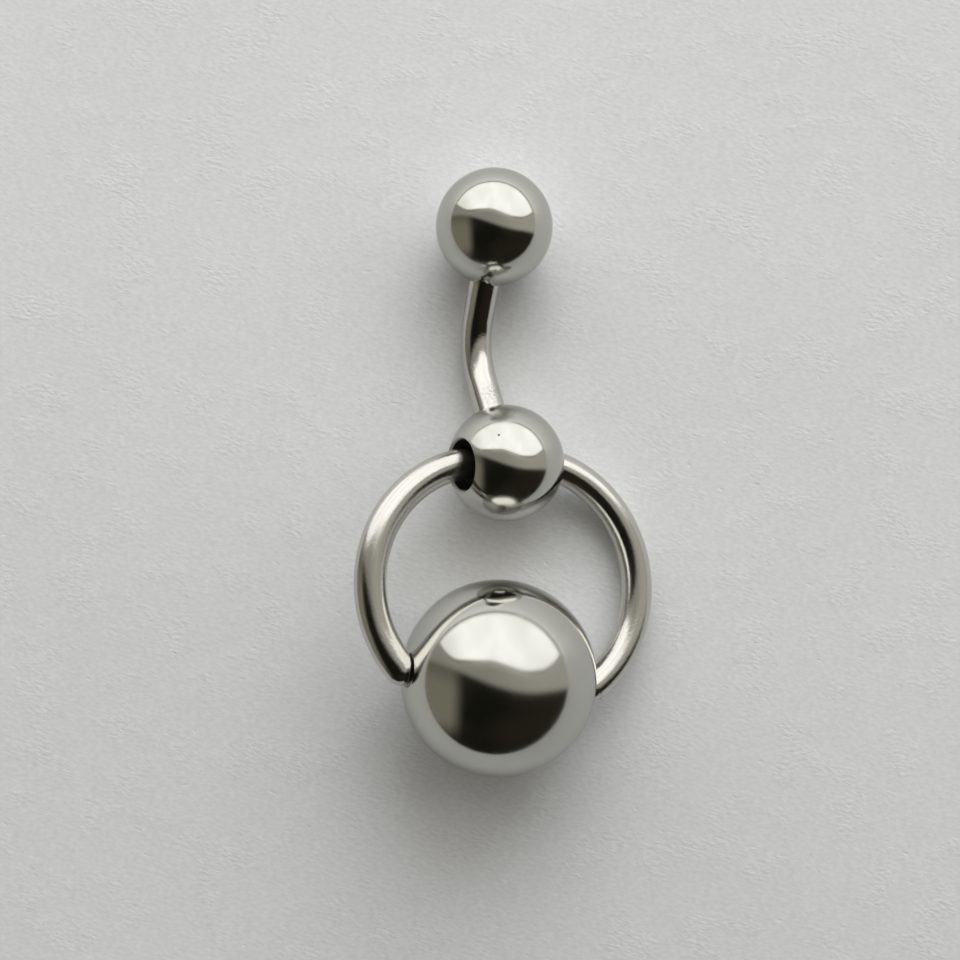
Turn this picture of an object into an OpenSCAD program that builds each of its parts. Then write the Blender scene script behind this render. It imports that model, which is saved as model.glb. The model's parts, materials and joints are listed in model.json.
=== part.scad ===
// Curved barbell with a captive ring and ball, lying on a flat surface.
// Millimetres. +Z is up and the surface is z = 0. +Y runs from the captive ball to the top ball.
// The origin is on the surface, under the middle of the whole piece.

/* [Small balls] */
// Diameter of the top ball and of the drilled ball
small_ball_d = 6; // [5.6:0.1:6.4]
// Distance between the centres of the top ball and the drilled ball
ball_spacing = 12.1; // [11.5:0.1:13]
// Diameter of the cross hole through the drilled ball
cross_hole_d = 2.6; // [2.5:0.05:2.7]
// Width of the bevel at each mouth of the cross hole
cross_hole_bevel = 0.08; // [0.04:0.01:0.12]

/* [Bar] */
// Diameter of the bar
bar_d = 1.6; // [1.3:0.05:1.6]
// Angle between each limb of the bar and the line that joins the two ball centres
bar_lean = 24.5; // [20:0.5:24.5]
// Radius of the bend between the two limbs, along the middle of the bar
bar_bend_r = 4; // [3:0.25:4.5]
// Length of bar that is seated in the top ball
top_seat = 2.2; // [1.5:0.1:2.4]
// Length of bar that is seated in the drilled ball
drilled_seat = 1.25; // [1:0.05:1.3]

/* [Captive ring] */
// Diameter of the ring's wire
wire_d = 1.6; // [1.4:0.05:1.6]
// Radius of the ring's two arms, along the middle of the wire
arm_r = 6.3; // [6.2:0.05:6.4]
// Length of the straight stretch of wire inside the drilled ball
back_length = 2.2; // [2.1:0.1:2.5]
// Width of the flat rim round the dome on each end of the wire
end_rim = 0.03; // [0.02:0.01:0.05]
// Distance from the captive ball's centre to the cut face of each end
end_reach = 5.2; // [5.15:0.05:5.3]

/* [Captive ball] */
// Diameter of the captive ball
captive_ball_d = 9.8; // [9.6:0.1:10]

/* [How the piece lies] */
// Roll of the barbell about its own length, with the cross hole's left end up
barbell_roll = 31; // [29:1:33]
// Turn of the barbell on the surface
barbell_yaw = 2.8; // [0:0.2:5]
// Roll of the ring, with its left side up
ring_roll = 24; // [22:0.5:24]
// Turn of the ring on the surface
ring_yaw = 3.5; // [2:0.5:5]

/* [Clearances] */
// Gap round each seated end of the bar
seat_gap = 0.04; // [0.03:0.01:0.06]
// Gap between each ring end and its dimple in the captive ball
dimple_gap = 0.14; // [0.12:0.01:0.18]

/* [Hidden] */
$fn = 96;

small_r = small_ball_d / 2;
captive_r = captive_ball_d / 2;
bar_r = bar_d / 2;
wire_r = wire_d / 2;
hole_r = cross_hole_d / 2;

// Places in the ring's own frame: the drilled ball's centre is its origin, +Y points to the ring's
// back, and the ring's plane is z = 0. The back is a little off the cross hole's middle.
back_middle = [-0.62, 0.12, 0];
captive_centre = [-1.74, -10.77, 0];

// How the ring pitches so that the captive ball rests on the surface
captive_rise = captive_r - small_r;
ring_pitch = asin(
    (captive_rise + sin(ring_roll) * captive_centre[0]) / (cos(ring_roll) * captive_centre[1])
);
ring_turn = [ring_pitch, ring_roll, ring_yaw];
barbell_turn = [0, barbell_roll, barbell_yaw];

// A point turned about X, then Y, then Z
function about_x(p, a) = [p[0], p[1] * cos(a) - p[2] * sin(a), p[1] * sin(a) + p[2] * cos(a)];
function about_y(p, a) = [p[0] * cos(a) + p[2] * sin(a), p[1], p[2] * cos(a) - p[0] * sin(a)];
function about_z(p, a) = [p[0] * cos(a) - p[1] * sin(a), p[0] * sin(a) + p[1] * cos(a), p[2]];
function turned(p, turn) = about_z(about_y(about_x(p, turn[0]), turn[1]), turn[2]);

// The drilled ball is placed so that the whole piece is centred over the origin: the ring's arms
// are its widest parts, and the top ball and the captive ball are its two ends.
arms_middle = turned(back_middle - [0, arm_r, 0], ring_turn);
far_end_y = turned([0, ball_spacing, 0], barbell_turn)[1] + small_r;
near_end_y = turned(captive_centre, ring_turn)[1] - captive_r;
drilled_centre = [-arms_middle[0], -(far_end_y + near_end_y) / 2, small_r];

// Length of each limb, from the bend to the centre of its ball
limb_length = (ball_spacing / 2 - bar_bend_r * sin(bar_lean)) / cos(bar_lean);
// How far the bend's middle lies off the line that joins the two ball centres
bow_depth = limb_length * sin(bar_lean) + bar_bend_r * (1 - cos(bar_lean));

// Places a piece in the barbell's frame: its origin is the middle of the bar's bend, +Y points to the
// top ball's side, and the bar bows toward -Z
module barbell_frame() {
    translate(drilled_centre) rotate(barbell_turn)
        translate([0, ball_spacing / 2, -bow_depth]) children();
}

// Places a piece at the end of the bar's bend, with +Z out along the limb: side is 1 for the limb to
// the top ball and -1 for the limb to the drilled ball
module on_limb(side) {
    mirror([0, side < 0 ? 1 : 0, 0])
        translate([0, 0, bar_bend_r]) rotate([bar_lean, 0, 0]) translate([0, 0, -bar_bend_r])
            rotate([-90, 0, 0]) children();
}

// Length of a limb whose end is seated in its ball
function seated_length(seat) = limb_length - small_r + seat;

// The blind hole in a ball that holds the end of its limb
module seat_hole(seat) {
    cylinder(r = bar_r + seat_gap, h = seated_length(seat) + seat_gap);
}

module top_ball() {
    color("gainsboro") barbell_frame() on_limb(1) difference() {
        translate([0, 0, limb_length]) sphere(r = small_r);
        seat_hole(top_seat);
    }
}

module curved_bar() {
    color("silver") barbell_frame() {
        translate([0, 0, bar_bend_r]) rotate([90, 0, 90]) rotate([0, 0, -90 - bar_lean])
            rotate_extrude(angle = 2 * bar_lean) translate([bar_bend_r, 0]) circle(r = bar_r);
        on_limb(1) cylinder(r = bar_r, h = seated_length(top_seat));
        on_limb(-1) cylinder(r = bar_r, h = seated_length(drilled_seat));
    }
}

// The cross hole, with a bevel where it leaves the ball
module cross_hole() {
    mouth = sqrt(small_r * small_r - hole_r * hole_r);
    depth = 2 * cross_hole_bevel;
    cylinder(r = hole_r, h = 2 * small_r, center = true);
    for (side = [0, 180])
        rotate([0, side, 0]) translate([0, 0, mouth - depth])
            cylinder(r1 = hole_r, r2 = hole_r + 2 * depth, h = 2 * depth);
}

module drilled_ball() {
    color("gainsboro") barbell_frame() on_limb(-1) difference() {
        translate([0, 0, limb_length]) rotate([0, 90, 0]) difference() {
            sphere(r = small_r);
            cross_hole();
        }
        seat_hole(drilled_seat);
    }
}

// Places a piece in the ring's frame
module ring_frame() {
    translate(drilled_centre) rotate(ring_turn) children();
}

// The centre of an arm's arc: side is -1 for the left arm and 1 for the right arm
function arm_centre(side) = back_middle + [side * back_length / 2, -arm_r, 0];

// How far an arm's arc turns from the back before its end meets the captive ball
function arm_sweep(side) =
    let (
        way = captive_centre - arm_centre(side),
        distance = norm(way),
        ball_bearing = atan2(side * way[0], way[1]),
        spread = acos((arm_r ^ 2 + distance ^ 2 - end_reach ^ 2) / (2 * arm_r * distance))
    )
    (ball_bearing < 0 ? ball_bearing + 360 : ball_bearing) - spread;

// The middle of an arm's cut end
function arm_end(side) =
    arm_centre(side) + arm_r * [side * sin(arm_sweep(side)), cos(arm_sweep(side)), 0];

// One arm of the ring: an arc from the back, and the dome on its cut end
module arm(side) {
    translate(arm_centre(side)) mirror([side > 0 ? 1 : 0, 0, 0]) {
        rotate([0, 0, 90])
            rotate_extrude(angle = arm_sweep(side)) translate([arm_r, 0]) circle(r = wire_r);
        rotate([0, 0, 90 + arm_sweep(side)]) translate([arm_r, 0, 0]) sphere(r = wire_r - end_rim);
    }
}

module captive_ring() {
    color("silver") ring_frame() {
        translate(back_middle) rotate([0, 90, 0])
            cylinder(r = wire_r, h = back_length, center = true);
        arm(-1);
        arm(1);
    }
}

module captive_ball() {
    color("gainsboro") ring_frame() difference() {
        translate(captive_centre) sphere(r = captive_r);
        for (side = [-1, 1]) translate(arm_end(side)) sphere(r = wire_r + dimple_gap);
    }
}

top_ball();
curved_bar();
drilled_ball();
captive_ring();
captive_ball();
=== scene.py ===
"""Steel, paper, light and camera for the curved barbell with its captive ring and ball.

Everything is in metres, in the same frame as the solids: z = 0 is the surface that the piece lies on,
+Y runs from the captive ball to the top ball. The solids keep their shape; this script gives them steel
that mirrors like the real one, and sets up the paper, the soft studio light and the camera.
"""
import json
import math

import bpy
from mathutils import Euler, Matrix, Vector


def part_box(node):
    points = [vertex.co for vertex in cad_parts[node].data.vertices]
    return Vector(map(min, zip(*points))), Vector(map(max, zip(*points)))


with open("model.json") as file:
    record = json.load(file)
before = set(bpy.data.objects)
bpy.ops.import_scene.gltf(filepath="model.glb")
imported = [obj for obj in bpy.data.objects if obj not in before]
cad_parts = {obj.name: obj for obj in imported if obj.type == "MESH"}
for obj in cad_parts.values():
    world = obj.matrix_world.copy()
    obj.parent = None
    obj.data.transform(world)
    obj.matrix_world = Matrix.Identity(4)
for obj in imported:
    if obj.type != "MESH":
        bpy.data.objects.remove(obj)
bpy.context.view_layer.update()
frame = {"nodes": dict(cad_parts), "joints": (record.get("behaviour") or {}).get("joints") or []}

MM = 0.001

# How the pieces lie, in degrees, and the sizes of the bent wire that the steel's grain follows, in mm
BARBELL_ROLL, BARBELL_YAW = 31.0, 2.8
RING_ROLL, RING_YAW = 24.0, 3.5
BAR_LEAN, BAR_BEND_R, BALL_SPACING = 24.5, 4.0, 12.1
ARM_R, BACK_LENGTH = 6.3, 2.2
WIRE_D, BAR_D = 1.6, 1.6
BACK_MIDDLE = (-0.62, 0.12, 0.0)

# The camera looks straight down, a little left of the piece's middle
CAMERA_PLACE = (-1.434 * MM, -0.596 * MM, 79.8 * MM)
CAMERA_LENS, SENSOR_WIDTH = 56.25, 36.0
CLIP_NEAR, CLIP_FAR = 1 * MM, 10.0

# A noise is given as its scale in turns per metre, its detail and its roughness. A ramp is given as the
# values where it starts and ends, and where it has them, the values that it runs between.

# What steel keeps of the light that it mirrors, in linear light, where it is polished, worn and freshly cut
BALL_COLOUR, BALL_WORN_COLOUR = (0.55, 0.547, 0.508), (0.508, 0.505, 0.47)
WIRE_COLOUR, WIRE_WORN_COLOUR = (0.585, 0.575, 0.54), (0.54, 0.53, 0.50)
CUT_COLOUR, CUT_ROUGHNESS = (0.42, 0.41, 0.38), 0.32
# The tiny pit's colour is painted shade: a dark spot in place of the shade in its hollow
PIT_SHADE_COLOUR = (0.12, 0.12, 0.11)
# What the balls keep of the light that they mirror at a glancing angle
GLANCING_TINT = (0.83, 0.83, 0.83, 1.0)
# The depth under an ideal ball or wire at which a point belongs to a hole, dimple or end
SKIN_START, SKIN_END = 0.05 * MM, 0.015 * MM
# How far the steel's mirrored horizon leans toward -X where the steel faces up, as a slope
HORIZON_LEAN = 0.065

# The balls' smears, grain and scratches. The roughness follows the smears, and so does the colour.
BALL_SMEAR, BALL_GRAIN = (170.0, 2.0, 0.6), (5200.0, 2.0, 0.6)
BALL_ROUGHNESS, BALL_WEAR = (0.4, 0.7, 0.10, 0.15), (0.4, 0.75)
SCRATCH_TURNS, SCRATCH_STRETCH = ((0.3, 0.5, 0.8), (1.4, 0.9, 2.0)), (1.0, 9.0, 9.0)
SCRATCH_NOISE, SCRATCH_WIDTH = (2600.0, 1.0, 0.5), 0.012
SCRATCH_PATCHES, SCRATCH_PATCH_EDGE = (900.0, 1.0, 0.5), (0.52, 0.62)
SCRATCH_ROUGHNESS, SCRATCH_DEPTH = 0.08, 0.5
BALL_BUMP_STRENGTH, BALL_BUMP_HEIGHT = 0.12, 0.002 * MM
# The shares of its radius within which a satin patch and the pit are at their fullest
SATIN_CORE, PIT_CORE = 0.25, 0.4

# The wires' draw lines, smears and specks
DRAW_LINES, DRAW_LINE_STRETCH = (7000.0, 3.0, 0.65), 0.03
WIRE_SMEAR, WIRE_SPECKS = (420.0, 3.0, 0.6), (11000.0, 2.0, 0.6)
WIRE_SMEAR_EDGE, WIRE_WEAR = (0.35, 0.7), (0.4, 0.7)
RING_ROUGHNESS, BAR_ROUGHNESS = (0.12, 0.20), (0.07, 0.12)
DRAW_LINE_HEIGHT, SPECK_HEIGHT = 1.2, 2.2
WIRE_BUMP_STRENGTH, WIRE_BUMP_HEIGHT = 0.5, 0.006 * MM
RUB_FLECKS, RUB_FLECK_EDGE = (8500.0, 2.0, 0.7), (0.46, 0.60)
RUB_ROUGHNESS, RUB_DEPTH = 0.25, 2.0
# How far the ring's reflections lean along its arms, as a slope, the sweeps where that sets in, and
# those where it fades out on the left arm, whose sweeps count as negative
ARM_LEAN, LEAN_SWEEP = 0.10, (math.radians(45), math.radians(80))
LEFT_FADE = (math.radians(-112), math.radians(-90))
# How far the reflections lean outward across the left arm's upper part, as a slope, and the sweeps where
# that sets in and fades out
OUTWARD_LEAN = 0.12
OUTWARD_START, OUTWARD_END = (math.radians(0), math.radians(-12)), (math.radians(-88), math.radians(-60))

# The paper: its colour, how far it reaches from the middle, and the parts of its grain
PAPER_COLOUR, PAPER_REACH = (0.779, 0.777, 0.783), 0.6
PAPER_ROUGHNESS, PAPER_SHEEN = 0.52, 0.5
STROKE_SLANT, STROKE_STRETCH = math.radians(-15), (1.9, 1.0, 1.0)
PAPER_STROKES, STROKE_BUMP = (6000.0, 1.0, 0.5), (0.30, 0.05 * MM)
STROKE_PATCHES, STROKE_PATCH_LEVEL = (420.0, 2.0, 0.5), (0.45, 0.68, 0.3, 1.6)
PAPER_DENTS, DENT_EDGE, DENT_BUMP = (2400.0, 1.0, 0.5), (0.71, 0.80), (0.3, -0.03 * MM)
PAPER_FIBRE, FIBRE_TONE, FIBRE_BUMP = (900.0, 4.0, 0.7), (0.3, 0.7, 0.98, 1.01), (0.12, 0.05 * MM)
PAPER_CLOUD, CLOUD_TONE = (60.0, 2.0, 0.5), (0.3, 0.7, -0.012, 0.012)
PAPER_SPECKS, SPECK_TONE = (5600.0, 1.0, 0.5), (0.25, 0.75, -0.04, 0.04)
# Painted window light: the paper's colour is painted paler towards the window, under the piece and then
# beyond it, in place of the stronger window light there
NEAR_PAINTED_LIGHT, FAR_PAINTED_LIGHT = (-45 * MM, 60 * MM, -0.10, 0.07), (25 * MM, 90 * MM, 0.0, 0.13)

# The window in the room, by the half-way direction across and up: its lower edge steps down to the right
# and turns up at both far ends, and soft folds hang down it
SILL, SILL_FAR_OUT, SILL_UPTURN = (-0.12, 0.32, 0.235, 0.118), 0.4, 2.9
WINDOW_EDGE, WINDOW_TINT = (-0.01, 0.012), (1.0, 1.0, 0.98)
WINDOW_LEVEL = (-0.66, -0.25, 1.22, 1.58)
FOLDS_ACROSS, FOLDS_UP = 5.0, 3.0
FOLD_NOISE, FOLD_LEVEL = (1.0, 1.0, 0.5), (0.3, 0.7, -0.09, 0.11)
# The ceiling meets the dark room along a line that falls to the right, and is brighter near the window
CEILING_END, CEILING_EDGE = (-0.8, 0.4, 0.2, -0.09), (-0.05, 0.025)
CEILING_TINT, CEILING_LEVEL = (1.0, 0.98, 0.86), (-0.2, 0.5, 0.34, 0.47)
CEILING_GLOW = (-0.09, -0.01, 0.0, 0.13)
# A dark beam just under the window, left and right of the middle
BEAM_DROP, BEAM_LEVEL, BEAM_SIDES = 0.026, (0.0, 0.024, 0.9, 0.0), (0.15, 0.4)
BEAM_COLOUR = (0.15, 0.145, 0.11, 1)
# The dark room, and a dim wall on its left
GLOOM_NOISE, GLOOM_EDGE = (1.3, 0.0, 0.5), (0.3, 0.7)
GLOOM_COLOURS = ((0.010, 0.010, 0.007, 1), (0.022, 0.019, 0.013, 1))
WALL_ACROSS, WALL_UP, WALL_SHADE = (-0.33, -0.50), (-0.64, -0.36), (-0.24, 0.0)
WALL_COLOURS = ((0.235, 0.228, 0.176, 1), (0.14, 0.136, 0.102, 1))
# The thin grey line where the far edge of the surface meets the window, by its height
SKIRTING_EDGE, SKIRTING_COLOUR = (0.10, 0.02), (0.42, 0.41, 0.37, 1)
# The plain backdrop that the camera sees, which is brighter towards the window
BACKDROP_TINT, BACKDROP_LEVEL = (1.0, 1.0, 0.985), (0.1, 1.0, 0.60, 0.86)

# The share of the room's light that falls on the paper
WORLD_ON_PAPER = 1.02
# The share of the room's light that steel mirrors, and that of the window where steel mirrors steel and
# where steel throws the window's light onto the paper
ROOM_IN_STEEL, WINDOW_IN_STEEL_AGAIN, WINDOW_OFF_STEEL = 1.065, 1.6, 2.9
# A ray's count of the surfaces that it has met passes these at the first one and at the second one
FIRST_MET, SECOND_MET = 0.5, 1.5
# The soft key light: where it comes from, how wide it is, its strength and its colour
KEY_FROM, KEY_WIDTH, KEY_STRENGTH = (0.17, 0.85, 0.50), math.radians(46), 1.6
KEY_COLOUR = (0.97, 1.0, 1.03)


def box_centre(node):
    low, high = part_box(node)
    return (Vector(low) + Vector(high)) / 2


def box_radius(node):
    low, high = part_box(node)
    return (high[2] - low[2]) / 2


BALL_CENTRES = {name: box_centre(name) for name in ("top_ball", "drilled_ball", "captive_ball")}
BALL_RADII = {name: box_radius(name) for name in BALL_CENTRES}
DRILLED_CENTRE = Vector(frame["joints"][0]["pos_m"])
# A tiny pit in the drilled ball, and a rubbed patch on the bar, each with its middle and its reach
PIT = (DRILLED_CENTRE + Vector((-0.39, 1.36, 2.646)) * MM, 0.09 * MM)
RUB = (DRILLED_CENTRE + Vector((-0.5, 3.6, -0.6)) * MM, 1.05 * MM)
# The satin patches on the drilled ball, each with its middle, its reach and its added roughness: one over
# the place where the bar enters and one over the place that faces the captive ball
SATIN_PATCHES = (
    (DRILLED_CENTRE + Vector((-0.1, 2.45, 1.7)) * MM, 1.1 * MM, 0.20),
    (DRILLED_CENTRE + Vector((-0.1, -2.2, 2.0)) * MM, 1.2 * MM, 0.09),
)


class Graph:
    """Builds one node tree with short calls, where an input is a number, a tuple or another socket."""

    def __init__(self, tree):
        self.tree = tree
        tree.nodes.clear()

    def node(self, kind, **settings):
        made = self.tree.nodes.new(kind)
        for name, value in settings.items():
            setattr(made, name, value)
        return made

    def feed(self, socket, value):
        if isinstance(value, bpy.types.NodeSocket):
            self.tree.links.new(value, socket)
        else:
            socket.default_value = value

    def math(self, operation, *inputs):
        made = self.node("ShaderNodeMath", operation=operation)
        for socket, value in zip(made.inputs, inputs):
            self.feed(socket, value)
        return made.outputs[0]

    def vector(self, operation, *inputs):
        made = self.node("ShaderNodeVectorMath", operation=operation)
        for socket, value in zip(made.inputs, inputs):
            self.feed(socket, value)
        return made.outputs["Value" if operation in ("LENGTH", "DISTANCE") else "Vector"]

    def scaled(self, vector, factor):
        made = self.node("ShaderNodeVectorMath", operation="SCALE")
        self.feed(made.inputs[0], vector)
        self.feed(made.inputs["Scale"], factor)
        return made.outputs["Vector"]

    def split(self, vector):
        made = self.node("ShaderNodeSeparateXYZ")
        self.feed(made.inputs[0], vector)
        return made.outputs[0], made.outputs[1], made.outputs[2]

    def joined(self, x, y, z):
        made = self.node("ShaderNodeCombineXYZ")
        for socket, value in zip(made.inputs, (x, y, z)):
            self.feed(socket, value)
        return made.outputs[0]

    def ramped(self, value, start, end, low=0.0, high=1.0):
        """The value carried from start..end to low..high with smooth ends"""
        made = self.node("ShaderNodeMapRange", interpolation_type="SMOOTHSTEP")
        for socket, number in zip(made.inputs, (value, start, end, low, high)):
            self.feed(socket, number)
        return made.outputs[0]

    def mixed(self, factor, first, second, kind="RGBA"):
        made = self.node("ShaderNodeMix", data_type=kind)
        offset = {"FLOAT": 2, "VECTOR": 4, "RGBA": 6}[kind]
        output = {"FLOAT": 0, "VECTOR": 1, "RGBA": 2}[kind]
        self.feed(made.inputs[0], factor)
        self.feed(made.inputs[offset], first)
        self.feed(made.inputs[offset + 1], second)
        return made.outputs[output]

    def noise(self, vector, scale, detail, roughness):
        made = self.node("ShaderNodeTexNoise")
        for name, value in (("Vector", vector), ("Scale", scale), ("Detail", detail),
                            ("Roughness", roughness)):
            self.feed(made.inputs[name], value)
        return made.outputs["Fac"]

    def bump(self, height, strength, distance, normal):
        made = self.node("ShaderNodeBump")
        for name, value in (("Height", height), ("Strength", strength), ("Distance", distance),
                            ("Normal", normal)):
            self.feed(made.inputs[name], value)
        return made.outputs["Normal"]

    def mapped(self, kind, vector, **settings):
        """The vector in a frame that is placed, turned and stretched by the settings"""
        made = self.node("ShaderNodeMapping", vector_type=kind)
        self.feed(made.inputs["Vector"], vector)
        for name, value in settings.items():
            made.inputs[name].default_value = value
        return made.outputs[0]

    def object_point(self):
        return self.node("ShaderNodeTexCoord").outputs["Object"]

    def mesh_normal(self):
        return self.node("ShaderNodeNewGeometry").outputs["Normal"]

    def to_world(self, direction):
        made = self.node("ShaderNodeVectorTransform", vector_type="NORMAL", convert_from="OBJECT",
                         convert_to="WORLD")
        self.feed(made.inputs[0], direction)
        return self.vector("NORMALIZE", made.outputs[0])


def new_material(name):
    material = bpy.data.materials.new(name)
    material.use_nodes = True
    return material, Graph(material.node_tree)


def finish_steel(graph, normal, roughness, colour, glancing=None):
    shader = graph.node("ShaderNodeBsdfPrincipled")
    shader.inputs["Metallic"].default_value = 1.0
    if glancing is not None:
        shader.inputs["Specular Tint"].default_value = glancing
    graph.feed(shader.inputs["Base Color"], colour)
    graph.feed(shader.inputs["Roughness"], roughness)
    graph.feed(shader.inputs["Normal"], normal)
    output = graph.node("ShaderNodeOutputMaterial")
    graph.feed(output.inputs["Surface"], shader.outputs[0])


def true_normal(graph, exact, on_surface):
    """The exact normal of the ideal surface where the point lies on it, else the mesh's own. Where it
    faces up it leans a little to +X, so the mirrored surface ends where it does on the real piece."""
    blended = graph.mixed(on_surface, graph.mesh_normal(), graph.to_world(exact), kind="VECTOR")
    facing_up = graph.math("MAXIMUM", graph.split(blended)[2], 0.0)
    lean = graph.joined(graph.math("MULTIPLY", facing_up, HORIZON_LEAN), 0.0, 0.0)
    return graph.vector("NORMALIZE", graph.vector("ADD", blended, lean))


def hairlines(graph, turn):
    """Long thin scratches along one direction, in patches: the narrow bands where a stretched noise
    crosses its middle value, 1 on the line"""
    stretched = graph.mapped("TEXTURE", graph.object_point(), Rotation=turn, Scale=SCRATCH_STRETCH)
    level = graph.noise(stretched, *SCRATCH_NOISE)
    level = graph.math("ABSOLUTE", graph.math("SUBTRACT", level, 0.5))
    patches = graph.ramped(graph.noise(stretched, *SCRATCH_PATCHES), *SCRATCH_PATCH_EDGE)
    return graph.math("MULTIPLY", graph.ramped(level, 0.0, SCRATCH_WIDTH, 1.0, 0.0), patches)


def nearness(graph, place, core, reach, most=1.0):
    """most within core of the place, falling to 0 at reach"""
    distance = graph.vector("DISTANCE", graph.object_point(), tuple(place))
    return graph.ramped(distance, core, reach, most, 0.0)


def ball_steel(name, pit=None, satin=()):
    """Mirror steel for a ball: exact round reflections, fine scratches and faint smears. The walls of its
    holes and dimples keep a duller cut finish."""
    material, graph = new_material(f"{name}_steel")
    centre, radius = BALL_CENTRES[name], BALL_RADII[name]
    point = graph.object_point()
    offset = graph.vector("SUBTRACT", point, tuple(centre))
    distance = graph.vector("LENGTH", offset)
    on_ball = graph.ramped(distance, radius - SKIN_START, radius - SKIN_END)
    normal = true_normal(graph, offset, on_ball)

    smear = graph.noise(point, *BALL_SMEAR)
    grain = graph.noise(point, *BALL_GRAIN)
    scratches = graph.math("MAXIMUM", *(hairlines(graph, turn) for turn in SCRATCH_TURNS))
    roughness = graph.math("ADD", graph.ramped(smear, *BALL_ROUGHNESS),
                           graph.math("MULTIPLY", scratches, SCRATCH_ROUGHNESS))
    for place, reach, added in satin:
        roughness = graph.math("ADD", roughness, nearness(graph, place, reach * SATIN_CORE, reach, added))
    roughness = graph.mixed(on_ball, CUT_ROUGHNESS, roughness, kind="FLOAT")
    height = graph.math("SUBTRACT", grain, graph.math("MULTIPLY", scratches, SCRATCH_DEPTH))
    normal = graph.bump(height, BALL_BUMP_STRENGTH, BALL_BUMP_HEIGHT, normal)
    colour = graph.mixed(graph.ramped(smear, *BALL_WEAR), (*BALL_COLOUR, 1), (*BALL_WORN_COLOUR, 1))
    colour = graph.mixed(on_ball, (*CUT_COLOUR, 1), colour)
    # The pit is painted as a dark spot: painted shade in its hollow
    if pit is not None:
        place, reach = pit
        colour = graph.mixed(nearness(graph, place, reach * PIT_CORE, reach), colour, (*PIT_SHADE_COLOUR, 1))
    finish_steel(graph, normal, roughness, colour, glancing=GLANCING_TINT)
    return material


def drawn_steel(graph, across, along, side, wire_radius, exact, turn, polish, rub=None):
    """Steel for round wire, with fine draw lines along it, specks and smears. across and side are the
    point's offsets from the wire's middle line, along is its place along the wire, and exact is the
    direction that its steel faces, in the piece's frame. rub is the place and reach of a patch of rubbed
    marks."""
    distance = graph.vector("LENGTH", graph.joined(across, side, 0.0))
    on_wire = graph.ramped(distance, wire_radius - SKIN_START, wire_radius - SKIN_END)
    normal = true_normal(graph, graph.mapped("VECTOR", exact, Rotation=turn), on_wire)

    stretched = graph.joined(across, side, graph.math("MULTIPLY", along, DRAW_LINE_STRETCH))
    draw_lines = graph.noise(stretched, *DRAW_LINES)
    point = graph.joined(across, side, along)
    smear = graph.noise(point, *WIRE_SMEAR)
    specks = graph.noise(point, *WIRE_SPECKS)
    height = graph.math("ADD", graph.math("MULTIPLY", draw_lines, DRAW_LINE_HEIGHT),
                        graph.math("MULTIPLY", specks, SPECK_HEIGHT))
    roughness = graph.ramped(smear, *WIRE_SMEAR_EDGE, *polish)
    colour = graph.mixed(graph.ramped(draw_lines, *WIRE_WEAR), (*WIRE_COLOUR, 1), (*WIRE_WORN_COLOUR, 1))
    if rub is not None:
        place, reach = rub
        flecks = graph.ramped(graph.noise(point, *RUB_FLECKS), *RUB_FLECK_EDGE)
        marks = graph.math("MULTIPLY", nearness(graph, place, 0.0, reach), flecks)
        roughness = graph.math("ADD", roughness, graph.math("MULTIPLY", marks, RUB_ROUGHNESS))
        height = graph.math("SUBTRACT", height, graph.math("MULTIPLY", marks, RUB_DEPTH))
        colour = graph.mixed(marks, colour, (*CUT_COLOUR, 1))
    normal = graph.bump(height, WIRE_BUMP_STRENGTH, WIRE_BUMP_HEIGHT, normal)
    finish_steel(graph, normal, roughness, colour)


def ring_turn(captive):
    """The ring's turn: its pitch follows from how much higher the captive ball's centre lies"""
    reach = captive - DRILLED_CENTRE
    yawed = Euler((0, 0, math.radians(RING_YAW))).to_matrix().inverted() @ reach
    rolled = Euler((0, math.radians(RING_ROLL), 0)).to_matrix().inverted() @ yawed
    pitch = math.atan2(-rolled.z, -rolled.y)
    return (pitch, math.radians(RING_ROLL), math.radians(RING_YAW))


def ring_steel():
    """Steel for the ring, laid out in its own frame by the sweep round each arm from the ring's back"""
    material, graph = new_material("captive_ring_steel")
    turn = ring_turn(BALL_CENTRES["captive_ball"])
    local = graph.mapped("TEXTURE", graph.object_point(), Location=DRILLED_CENTRE, Rotation=turn)
    x, y, z = graph.split(local)
    x = graph.math("SUBTRACT", x, BACK_MIDDLE[0] * MM)
    y = graph.math("SUBTRACT", y, (BACK_MIDDLE[1] - ARM_R) * MM)
    beyond = graph.math("MAXIMUM", graph.math("SUBTRACT", graph.math("ABSOLUTE", x),
                                              BACK_LENGTH / 2 * MM), 0.0)
    x_from_arm = graph.math("MULTIPLY", graph.math("SIGN", x), beyond)
    from_arm = graph.joined(x_from_arm, y, 0.0)
    outward = graph.vector("NORMALIZE", from_arm)
    across = graph.math("SUBTRACT", graph.vector("LENGTH", from_arm), ARM_R * MM)
    exact = graph.vector("ADD", graph.scaled(outward, across), graph.joined(0.0, 0.0, z))
    sweep = graph.math("ARCTAN2", x_from_arm, y)
    along = graph.math("ADD", graph.math("MULTIPLY", sweep, ARM_R * MM), x)

    # Down both arms the mirrored forms sit a little nearer the back than on a perfectly even wire
    wire_radius = WIRE_D / 2 * MM
    lean = graph.ramped(graph.math("ABSOLUTE", sweep), *LEAN_SWEEP, 0.0, ARM_LEAN * wire_radius)
    lean = graph.math("MULTIPLY", lean, graph.ramped(sweep, *LEFT_FADE))
    toward_end = graph.vector("CROSS_PRODUCT", (0.0, 0.0, -1.0), outward)
    toward_end = graph.scaled(toward_end, graph.math("SIGN", x))
    exact = graph.vector("ADD", exact, graph.scaled(toward_end, lean))
    outward_lean = graph.math("MULTIPLY", graph.ramped(sweep, *OUTWARD_START),
                              graph.ramped(sweep, *OUTWARD_END, 0.0, -OUTWARD_LEAN * wire_radius))
    exact = graph.vector("ADD", exact, graph.scaled(outward, outward_lean))
    drawn_steel(graph, across, along, z, wire_radius, exact, turn, RING_ROUGHNESS)
    return material


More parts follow.
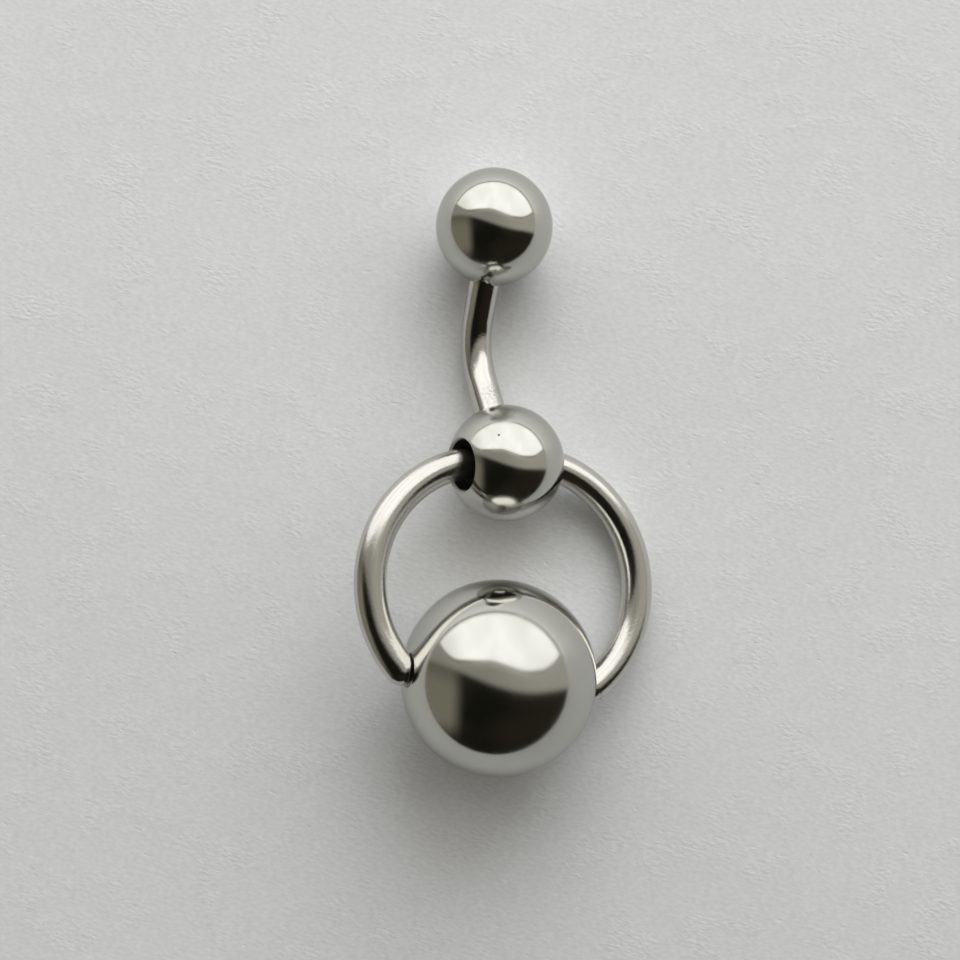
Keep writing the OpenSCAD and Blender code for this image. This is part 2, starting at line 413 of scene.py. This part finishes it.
def bar_steel():
    """Steel for the bar, laid out in the barbell's frame by the angle round the bend"""
    material, graph = new_material("curved_bar_steel")
    turn = (0.0, math.radians(BARBELL_ROLL), math.radians(BARBELL_YAW))
    lean = math.radians(BAR_LEAN)
    limb = (BALL_SPACING / 2 - BAR_BEND_R * math.sin(lean)) / math.cos(lean)
    bow = limb * math.sin(lean) + BAR_BEND_R * (1 - math.cos(lean))
    # The bend's centre, from the drilled ball's centre
    bend_centre = Euler(turn).to_matrix() @ Vector((0, BALL_SPACING / 2, BAR_BEND_R - bow)) * MM
    local = graph.mapped("TEXTURE", graph.object_point(), Location=DRILLED_CENTRE + bend_centre,
                         Rotation=turn)
    x, y, z = graph.split(local)
    angle = graph.math("ARCTAN2", y, graph.math("MULTIPLY", z, -1.0))
    angle = graph.math("MINIMUM", graph.math("MAXIMUM", angle, -lean), lean)
    sine, cosine = graph.math("SINE", angle), graph.math("COSINE", angle)
    out = graph.math("SUBTRACT", graph.math("MULTIPLY", y, sine), graph.math("MULTIPLY", z, cosine))
    across = graph.math("SUBTRACT", out, BAR_BEND_R * MM)
    exact = graph.joined(x, graph.math("MULTIPLY", across, sine),
                         graph.math("MULTIPLY", graph.math("MULTIPLY", across, cosine), -1.0))
    past_bend = graph.math("ADD", graph.math("MULTIPLY", y, cosine), graph.math("MULTIPLY", z, sine))
    along = graph.math("ADD", graph.math("MULTIPLY", angle, BAR_BEND_R * MM), past_bend)
    drawn_steel(graph, across, along, x, BAR_D / 2 * MM, exact, turn, BAR_ROUGHNESS, rub=RUB)
    return material


def paper_material():
    """Pale paper with a soft sheen, a fine grain of slanted strokes in patches, scattered dents and a
    slight cloudiness, with painted window light that makes its colour a little paler towards the window"""
    material, graph = new_material("paper")
    point = graph.object_point()
    slanted = graph.mapped("TEXTURE", point, Rotation=(0.0, 0.0, STROKE_SLANT), Scale=STROKE_STRETCH)
    patches = graph.ramped(graph.noise(point, *STROKE_PATCHES), *STROKE_PATCH_LEVEL)
    strokes = graph.math("MULTIPLY", graph.noise(slanted, *PAPER_STROKES), patches)
    specks = graph.noise(slanted, *PAPER_SPECKS)
    dents = graph.ramped(graph.noise(slanted, *PAPER_DENTS), *DENT_EDGE)
    fibre = graph.noise(point, *PAPER_FIBRE)
    cloud = graph.noise(point, *PAPER_CLOUD)
    toward_window = graph.split(point)[1]
    tone_and_painted_light = graph.ramped(fibre, *FIBRE_TONE)
    # The fibre, cloud and specks are the paper's own tone; the two ramps towards the window are painted
    # window light
    for value, ramp in ((cloud, CLOUD_TONE), (specks, SPECK_TONE), (toward_window, NEAR_PAINTED_LIGHT),
                        (toward_window, FAR_PAINTED_LIGHT)):
        tone_and_painted_light = graph.math("ADD", tone_and_painted_light, graph.ramped(value, *ramp))
    normal = graph.mesh_normal()
    for height, bump in ((fibre, FIBRE_BUMP), (dents, DENT_BUMP), (strokes, STROKE_BUMP)):
        normal = graph.bump(height, *bump, normal)
    shader = graph.node("ShaderNodeBsdfPrincipled")
    shader.inputs["Roughness"].default_value = PAPER_ROUGHNESS
    shader.inputs["Specular IOR Level"].default_value = PAPER_SHEEN
    graph.feed(shader.inputs["Base Color"], graph.scaled(PAPER_COLOUR, tone_and_painted_light))
    graph.feed(shader.inputs["Normal"], normal)
    output = graph.node("ShaderNodeOutputMaterial")
    graph.feed(output.inputs["Surface"], shader.outputs[0])
    return material


def paper_floor():
    mesh = bpy.data.meshes.new("paper_floor")
    corners = [(x * PAPER_REACH, y * PAPER_REACH, 0) for x, y in ((-1, -1), (1, -1), (1, 1), (-1, 1))]
    mesh.from_pydata(corners, [], [(0, 1, 2, 3)])
    floor = bpy.data.objects.new("paper_floor", mesh)
    bpy.context.scene.collection.objects.link(floor)
    mesh.materials.append(paper_material())


def room_colour(graph, direction):
    """What the steel mirrors, and where in it the window is: a wide soft window on the +Y side, a warm
    grey ceiling overhead, a dim wall on the left and a dark room on the -Y side. Its forms are laid out by
    the half-way direction, between straight up and the mirrored direction, because that is how a ball seen
    from above shows them."""
    x, y, z = graph.split(direction)
    rise = graph.math("MAXIMUM", graph.math("ADD", z, 1.0), 0.001)
    halving = graph.math("INVERSE_SQRT", graph.math("MULTIPLY", rise, 2.0))
    # The room leans with the mirrored horizon, so that only the mirrored surface is shifted
    sideways = graph.math("SUBTRACT", x, graph.math("MULTIPLY", rise, HORIZON_LEAN))
    across, up = graph.math("MULTIPLY", sideways, halving), graph.math("MULTIPLY", y, halving)
    off_middle = graph.math("ABSOLUTE", across)

    far_out = graph.math("MAXIMUM", graph.math("SUBTRACT", off_middle, SILL_FAR_OUT), 0.0)
    upturn = graph.math("MULTIPLY", graph.math("MULTIPLY", far_out, far_out), SILL_UPTURN)
    sill = graph.math("ADD", graph.ramped(across, *SILL), upturn)
    above_sill = graph.math("SUBTRACT", up, sill)
    above_end = graph.math("SUBTRACT", up, graph.ramped(across, *CEILING_END))
    window = graph.ramped(above_sill, *WINDOW_EDGE)

    folds = graph.joined(graph.math("MULTIPLY", across, FOLDS_ACROSS), graph.math("MULTIPLY", up, FOLDS_UP),
                         0.0)
    window_level = graph.math("ADD", graph.ramped(across, *WINDOW_LEVEL),
                              graph.ramped(graph.noise(folds, *FOLD_NOISE), *FOLD_LEVEL))
    ceiling_level = graph.math("ADD", graph.ramped(across, *CEILING_LEVEL),
                               graph.ramped(above_sill, *CEILING_GLOW))
    from_beam = graph.math("ABSOLUTE", graph.math("ADD", above_sill, BEAM_DROP))
    beam = graph.math("MULTIPLY", graph.ramped(from_beam, *BEAM_LEVEL),
                      graph.ramped(off_middle, *BEAM_SIDES))
    ceiling_colour = graph.mixed(beam, graph.scaled(CEILING_TINT, ceiling_level), BEAM_COLOUR)
    gloom = graph.ramped(graph.noise(direction, *GLOOM_NOISE), *GLOOM_EDGE)
    wall = graph.math("MULTIPLY", graph.ramped(across, *WALL_ACROSS), graph.ramped(up, *WALL_UP))
    wall_colour = graph.mixed(graph.ramped(above_end, *WALL_SHADE), *WALL_COLOURS)
    dark_colour = graph.mixed(wall, graph.mixed(gloom, *GLOOM_COLOURS), wall_colour)

    colour = graph.mixed(graph.ramped(above_end, *CEILING_EDGE), dark_colour, ceiling_colour)
    colour = graph.mixed(window, colour, graph.scaled(WINDOW_TINT, window_level))
    skirting = graph.math("MULTIPLY", graph.ramped(z, *SKIRTING_EDGE), window)
    return graph.mixed(skirting, colour, SKIRTING_COLOUR), window


def studio_world():
    """The room round the piece, at its own strength on the paper and in the steel, and the plain backdrop
    that the camera sees"""
    world = bpy.data.worlds.new("studio")
    world.use_nodes = True
    bpy.context.scene.world = world
    graph = Graph(world.node_tree)
    direction = graph.node("ShaderNodeTexCoord").outputs["Generated"]
    colour, window = room_colour(graph, direction)

    # Steel that mirrors steel still shows the window almost white, as the real window is far brighter,
    # and steel throws the window's light onto the paper beside it
    rays = graph.node("ShaderNodeLightPath")
    again = graph.math("GREATER_THAN", rays.outputs["Glossy Depth"], SECOND_MET)
    mirrored = graph.mixed(graph.math("MULTIPLY", again, window), ROOM_IN_STEEL, WINDOW_IN_STEEL_AGAIN,
                           kind="FLOAT")
    thrown = graph.math("GREATER_THAN", rays.outputs["Diffuse Depth"], FIRST_MET)
    mirrored = graph.mixed(graph.math("MULTIPLY", thrown, window), mirrored, WINDOW_OFF_STEEL, kind="FLOAT")
    lit = graph.mixed(rays.outputs["Is Glossy Ray"], WORLD_ON_PAPER, mirrored, kind="FLOAT")
    toward_window = graph.split(direction)[1]
    backdrop = graph.scaled(BACKDROP_TINT, graph.ramped(toward_window, *BACKDROP_LEVEL))
    seen = graph.mixed(rays.outputs["Is Camera Ray"], graph.scaled(colour, lit), backdrop)
    background = graph.node("ShaderNodeBackground")
    graph.feed(background.inputs["Color"], seen)
    output = graph.node("ShaderNodeOutputWorld")
    graph.feed(output.inputs["Surface"], background.outputs[0])


def soft_key():
    """Wide soft daylight from low in the window, for the long soft shadows on the paper"""
    light = bpy.data.lights.new("soft_key", "SUN")
    light.angle = KEY_WIDTH
    light.energy = KEY_STRENGTH
    light.color = KEY_COLOUR
    lamp = bpy.data.objects.new("soft_key", light)
    lamp.rotation_euler = (-Vector(KEY_FROM)).to_track_quat("-Z", "Y").to_euler()
    lamp.visible_camera = False
    lamp.visible_glossy = False
    bpy.context.scene.collection.objects.link(lamp)


def camera_above():
    data = bpy.data.cameras.new("camera")
    data.lens, data.sensor_width = CAMERA_LENS, SENSOR_WIDTH
    data.clip_start, data.clip_end = CLIP_NEAR, CLIP_FAR
    camera = bpy.data.objects.new("camera", data)
    camera.location = CAMERA_PLACE
    bpy.context.scene.collection.objects.link(camera)
    bpy.context.scene.camera = camera


def set_steel(node, material):
    mesh = frame["nodes"][node].data
    for slot in range(len(mesh.materials)):
        mesh.materials[slot] = material


set_steel("top_ball", ball_steel("top_ball"))
set_steel("drilled_ball", ball_steel("drilled_ball", pit=PIT, satin=SATIN_PATCHES))
set_steel("captive_ball", ball_steel("captive_ball"))
set_steel("captive_ring", ring_steel())
set_steel("curved_bar", bar_steel())
paper_floor()
studio_world()
soft_key()
camera_above()
bpy.context.scene.view_settings.view_transform = "Standard"
